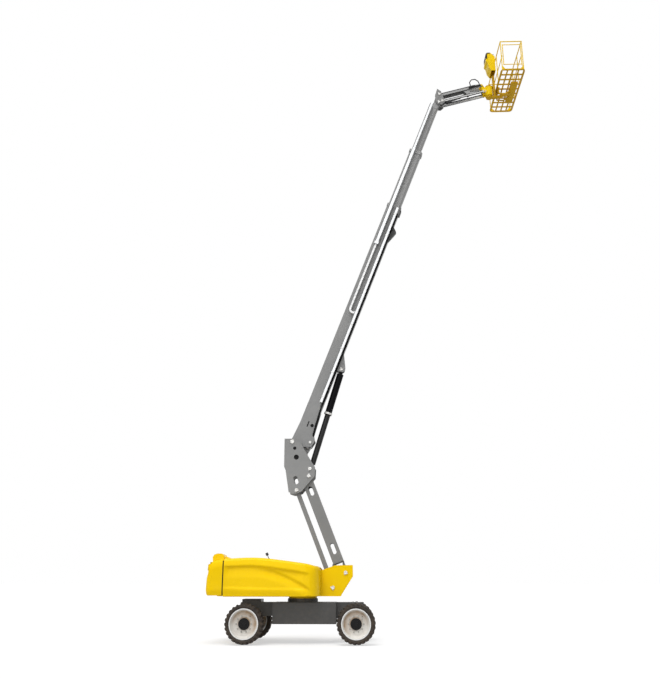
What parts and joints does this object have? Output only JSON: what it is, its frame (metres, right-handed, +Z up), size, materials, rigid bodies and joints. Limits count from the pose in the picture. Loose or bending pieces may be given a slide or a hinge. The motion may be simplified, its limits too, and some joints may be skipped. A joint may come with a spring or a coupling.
{
  "type": "telescopic boom lift",
  "caption": "Wheeled self-propelled boom lift: parallel lower arm, knuckle, telescoping upper boom, short jib and a railed work platform, raised and extended.",
  "frame": {"origin": "on the ground under the centre of the slewing ring", "axes": "+X the way the boom reaches, +Y to the machine's left, +Z up"},
  "size_m": [9.9503, 2.5, 19.3846],
  "materials": {
    "beacon_plastic": "gloss",
    "black_paint": "matte",
    "counterweight_iron": "satin",
    "dark_paint": "satin",
    "engine_iron": "matte",
    "galvanised_steel": "satin",
    "grey_paint": "satin",
    "hood_shell": "gloss",
    "hose_rubber": "matte",
    "rim_paint": "satin",
    "rod_chrome": "polished",
    "track_plastic": "matte",
    "tyre_rubber": "matte",
    "yellow_paint": "satin"
  },
  "bodies": {
    "chassis": {"chassis_frame": "dark_paint", "tie_down_lugs": "dark_paint", "slew_ring": "dark_paint", "steer_axle": "dark_paint", "fixed_axle": "dark_paint"},
    "steer_knuckle_left": {"steer_knuckle_left": "dark_paint"},
    "steer_knuckle_right": {"steer_knuckle_right": "dark_paint"},
    "wheel_steer_left": {"tyre_steer_left": "tyre_rubber", "rim_steer_left": "rim_paint", "hub_steer_left": "black_paint"},
    "wheel_steer_right": {"tyre_steer_right": "tyre_rubber", "rim_steer_right": "rim_paint", "hub_steer_right": "black_paint"},
    "wheel_fixed_left": {"tyre_fixed_left": "tyre_rubber", "rim_fixed_left": "rim_paint", "hub_fixed_left": "black_paint"},
    "wheel_fixed_right": {"tyre_fixed_right": "tyre_rubber", "rim_fixed_right": "rim_paint", "hub_fixed_right": "black_paint"},
    "turret": {"turret_frame": "yellow_paint", "counterweight": "counterweight_iron", "tail_cap": "hood_shell", "engine_block": "engine_iron"},
    "hood_left": {"hood_left": "hood_shell"},
    "hood_right": {"hood_right": "hood_shell", "beacon": "beacon_plastic"},
    "lower_arm": {"lower_arm": "grey_paint"},
    "tie_rod": {"lower_tie_rod": "grey_paint"},
    "lower_barrel": {"lower_cylinder_barrel": "black_paint"},
    "lower_rod": {"lower_cylinder_rod": "rod_chrome"},
    "knuckle": {"knuckle": "grey_paint"},
    "boom": {"boom_outer": "grey_paint", "cable_tray": "galvanised_steel"},
    "boom_middle": {"boom_middle": "grey_paint", "middle_conduit": "galvanised_steel"},
    "cable_track": {"cable_track": "track_plastic"},
    "boom_fly": {"boom_fly": "grey_paint", "fly_conduit": "galvanised_steel"},
    "luff_barrel": {"luff_cylinder_barrel": "black_paint"},
    "luff_rod": {"luff_cylinder_rod": "rod_chrome"},
    "jib_bracket": {"jib_bracket": "grey_paint"},
    "jib": {"jib_upper_beam": "grey_paint", "jib_hose": "hose_rubber"},
    "jib_link": {"jib_lower_link": "grey_paint", "jib_pipe": "black_paint"},
    "jib_barrel": {"jib_cylinder_barrel": "grey_paint"},
    "jib_rod": {"jib_cylinder_rod": "rod_chrome"},
    "platform_support": {"platform_support": "yellow_paint"},
    "platform": {"platform_frame": "yellow_paint", "cage_floor": "yellow_paint", "cage_top_rail": "yellow_paint", "cage_mid_rail": "yellow_paint", "cage_posts": "yellow_paint", "corner_gussets": "yellow_paint", "gate_brackets": "yellow_paint", "harness_anchors": "yellow_paint", "control_box": "yellow_paint"},
    "gate": {"cage_gate": "yellow_paint"}
  },
  "joints": [
    {"name": "turret_slew", "type": "hinge", "parent": "chassis", "child": "turret", "pos_m": [0, 0, 1.16], "axis": [0, 0, 1], "continuous": true},
    {"name": "steer_left", "type": "hinge", "parent": "chassis", "child": "steer_knuckle_left", "pos_m": [-1.5, 0.79, 0.53], "axis": [0, 0, 1], "range_deg": [-32, 32]},
    {"name": "steer_right", "type": "hinge", "parent": "chassis", "child": "steer_knuckle_right", "pos_m": [-1.5, -0.79, 0.53], "axis": [0, 0, 1], "range_deg": [-32, 32]},
    {"name": "wheel_steer_left", "type": "hinge", "parent": "steer_knuckle_left", "child": "wheel_steer_left", "pos_m": [-1.5, 1.06, 0.53], "axis": [0, 1, 0], "continuous": true},
    {"name": "wheel_fixed_left", "type": "hinge", "parent": "chassis", "child": "wheel_fixed_left", "pos_m": [1.5, 1.06, 0.53], "axis": [0, 1, 0], "continuous": true},
    {"name": "wheel_steer_right", "type": "hinge", "parent": "steer_knuckle_right", "child": "wheel_steer_right", "pos_m": [-1.5, -1.06, 0.53], "axis": [0, 1, 0], "continuous": true},
    {"name": "wheel_fixed_right", "type": "hinge", "parent": "chassis", "child": "wheel_fixed_right", "pos_m": [1.5, -1.06, 0.53], "axis": [0, 1, 0], "continuous": true},
    {"name": "lower_arm_lift", "type": "hinge", "parent": "turret", "child": "lower_arm", "pos_m": [1.218, 0, 1.853], "axis": [0, 1, 0], "range_deg": [-66.3, 0]},
    {"name": "tie_rod_swing", "type": "hinge", "parent": "turret", "child": "tie_rod", "pos_m": [0.867, 0, 1.453], "axis": [0, 1, 0], "range_deg": [-66.3, 0]},
    {"name": "knuckle_level", "type": "hinge", "parent": "lower_arm", "child": "knuckle", "pos_m": [0.15111, 0, 4.56145], "axis": [0, 1, 0], "range_deg": [0, 66.3]},
    {"name": "lower_cylinder_swing", "type": "hinge", "parent": "turret", "child": "lower_barrel", "pos_m": [-0.85, 0, 1.42], "axis": [0, 1, 0], "range_deg": [-0.05, 10.7]},
    {"name": "lower_cylinder_stroke", "type": "slide", "parent": "lower_barrel", "child": "lower_rod", "axis": [0.9854, 0, 0.1704], "range_m": [-0.001, 0.3054]},
    {"name": "boom_luff", "type": "hinge", "parent": "knuckle", "child": "boom", "pos_m": [-0.34288, 0, 5.57795], "axis": [0, -1, 0], "range_deg": [-69, 6]},
    {"name": "luff_cylinder_swing", "type": "hinge", "parent": "boom", "child": "luff_barrel", "pos_m": [1.12944, 0, 7.86202], "axis": [0, -1, 0], "range_deg": [-0.47, 4.92]},
    {"name": "luff_cylinder_stroke", "type": "slide", "parent": "luff_barrel", "child": "luff_rod", "axis": [-0.2908, 0, -0.9568], "range_m": [-1.0769, 0.0946]},
    {"name": "telescope", "type": "slide", "parent": "boom", "child": "boom_middle", "axis": [0.3584, 0, 0.9336], "range_m": [-1.78, 1.45]},
    {"name": "fly_slide", "type": "slide", "parent": "boom_middle", "child": "boom_fly", "axis": [0.3584, 0, 0.9336], "range_m": [-1.78, 1.45]},
    {"name": "track_slide", "type": "slide", "parent": "boom", "child": "cable_track", "axis": [0.3584, 0, 0.9336], "range_m": [-0.89, 0.725]},
    {"name": "bracket_level", "type": "hinge", "parent": "boom_fly", "child": "jib_bracket", "pos_m": [4.56005, 0, 17.41993], "axis": [0, -1, 0], "range_deg": [-6, 69]},
    {"name": "jib_lift", "type": "hinge", "parent": "jib_bracket", "child": "jib", "pos_m": [4.59005, 0, 17.73993], "axis": [0, -1, 0], "range_deg": [-50, 55]},
    {"name": "jib_link_swing", "type": "hinge", "parent": "jib_bracket", "child": "jib_link", "pos_m": [4.68005, 0, 17.46993], "axis": [0, -1, 0], "range_deg": [-50, 55]},
    {"name": "platform_level", "type": "hinge", "parent": "jib", "child": "platform_support", "pos_m": [6.06929, 0, 18.13076], "axis": [0, -1, 0], "range_deg": [-55, 50]},
    {"name": "jib_cylinder_swing", "type": "hinge", "parent": "jib_bracket", "child": "jib_barrel", "pos_m": [4.68005, 0, 17.46993], "axis": [0, -1, 0], "range_deg": [-48.87, 53.75]},
    {"name": "jib_cylinder_stroke", "type": "slide", "parent": "jib_barrel", "child": "jib_rod", "axis": [0.9313, 0, 0.3643], "range_m": [-0.2215, 0.2435]},
    {"name": "platform_rotate", "type": "hinge", "parent": "platform_support", "child": "platform", "pos_m": [6.33029, 0, 17.73976], "axis": [0, 0, 1], "range_deg": [-80, 80]},
    {"name": "cage_gate_swing", "type": "hinge", "parent": "platform", "child": "gate", "pos_m": [7.26529, -1.15, 18.16976], "axis": [0, 0, -1], "range_deg": [0, 85]},
    {"name": "hood_left_lift", "type": "hinge", "parent": "turret", "child": "hood_left", "pos_m": [-0.8, 0.48, 2.1], "axis": [1, 0, 0], "range_deg": [0, 55]},
    {"name": "hood_right_lift", "type": "hinge", "parent": "turret", "child": "hood_right", "pos_m": [-0.8, -0.48, 2.1], "axis": [-1, 0, 0], "range_deg": [0, 55]}
  ],
  "couplings": [
    {"joint": "steer_right", "follows": "steer_left", "ratio": 1},
    {"joint": "tie_rod_swing", "follows": "lower_arm_lift", "ratio": 1},
    {"joint": "knuckle_level", "follows": "lower_arm_lift", "ratio": -1},
    {"joint": "lower_cylinder_swing", "follows": "lower_arm_lift", "ratio": -0.16059},
    {"joint": "lower_cylinder_stroke", "follows": "lower_arm_lift", "m_per_rad": -0.26307},
    {"joint": "luff_cylinder_swing", "follows": "boom_luff", "ratio": -0.070513},
    {"joint": "luff_cylinder_stroke", "follows": "boom_luff", "m_per_rad": 0.8934},
    {"joint": "fly_slide", "follows": "telescope", "ratio": 1},
    {"joint": "track_slide", "follows": "telescope", "ratio": 0.5},
    {"joint": "bracket_level", "follows": "boom_luff", "ratio": -1},
    {"joint": "jib_link_swing", "follows": "jib_lift", "ratio": 1},
    {"joint": "platform_level", "follows": "jib_lift", "ratio": -1},
    {"joint": "jib_cylinder_swing", "follows": "jib_lift", "ratio": 0.97631},
    {"joint": "jib_cylinder_stroke", "follows": "jib_lift", "m_per_rad": 0.25264}
  ]
}
